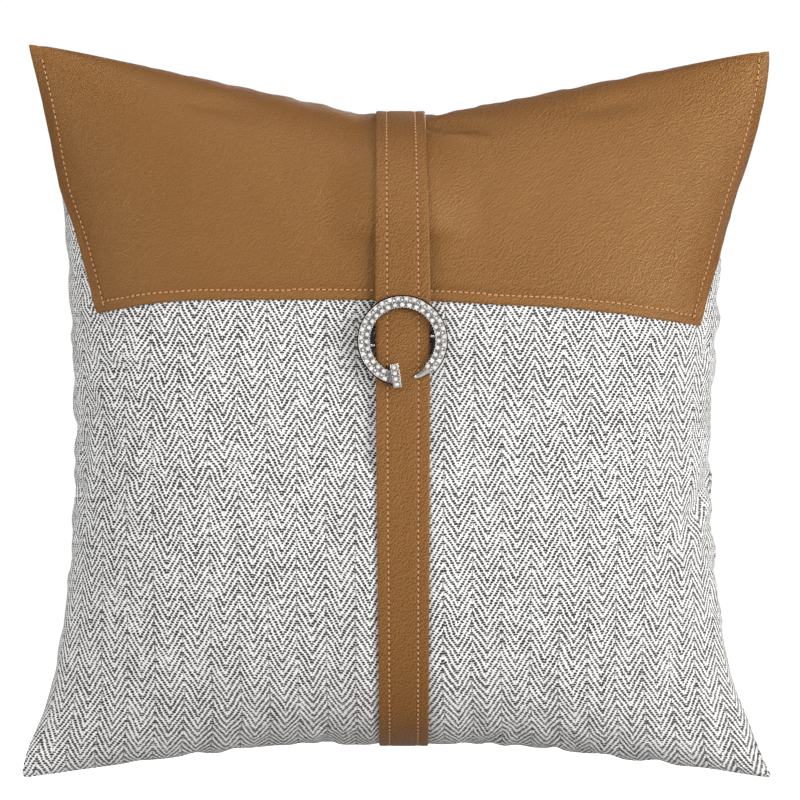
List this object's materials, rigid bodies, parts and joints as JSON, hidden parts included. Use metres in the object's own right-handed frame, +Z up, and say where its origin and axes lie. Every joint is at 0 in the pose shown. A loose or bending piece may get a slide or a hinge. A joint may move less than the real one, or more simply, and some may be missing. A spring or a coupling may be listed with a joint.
{
  "type": "throw pillow",
  "caption": "Square stuffed throw pillow with a leather flap, a vertical leather strap and an open stone-set ring slider on a herringbone cover.",
  "frame": {"origin": "under the middle of the pillow's bounding box, on the surface that it stands on", "axes": "+Z up the pillow from the bottom seam to the flap's seam, -Y out of the decorated front, +X to the right seen from the front"},
  "size_m": [0.444, 0.1528, 0.44],
  "materials": {
    "herringbone": "herringbone twill, off-white warp over dark warm-grey weft, matt",
    "tan_leather": "fine pebbled grain, semi-matt tan",
    "thread": "orange-tan polyester thread, slight sheen",
    "ring_metal": "polished gunmetal plating",
    "stone": "clear faceted glass",
    "insert_cloth": "plain white non-woven",
    "fibre": "loose white polyester fibre",
    "zip_tape": "woven grey zip tape",
    "zip_coil": "grey nylon coil",
    "zip_metal": "grey enamelled zinc"
  },
  "bodies": {
    "cushion": {"front_panel": "herringbone", "back_panel": "herringbone", "insert_shell_front": "insert_cloth", "insert_shell_back": "insert_cloth", "fibre_fill": "fibre", "leather_flap": "tan_leather", "flap_thread": "thread", "strap_lining": "tan_leather", "strap_face": "tan_leather", "strap_thread_left": "thread", "strap_thread_right": "thread", "zip_tape_lower": "zip_tape", "zip_tape_upper": "zip_tape", "zip_coil_lower": "zip_coil", "zip_coil_upper": "zip_coil", "zip_stop_left": "zip_metal", "zip_stop_right": "zip_metal"},
    "ring": {"ring_base": "ring_metal", "ring_frame": "ring_metal", "ring_stones": "stone"},
    "zip_slider": {"zip_slider": "zip_metal"},
    "zip_pull": {"zip_pull": "zip_metal"}
  },
  "joints": [
    {"name": "ring_slide", "type": "slide", "parent": "cushion", "child": "ring", "axis": [0, 0, 1], "range_m": [-0.05, 0.035]},
    {"name": "zip_slide", "type": "slide", "parent": "cushion", "child": "zip_slider", "axis": [1, 0, 0], "range_m": [-0.248, 0]},
    {"name": "pull_swing", "type": "hinge", "parent": "zip_slider", "child": "zip_pull", "pos_m": [0.124, 0.03836, 0.02876], "axis": [0, -0.7431, -0.6691], "range_deg": [0, 170]}
  ]
}
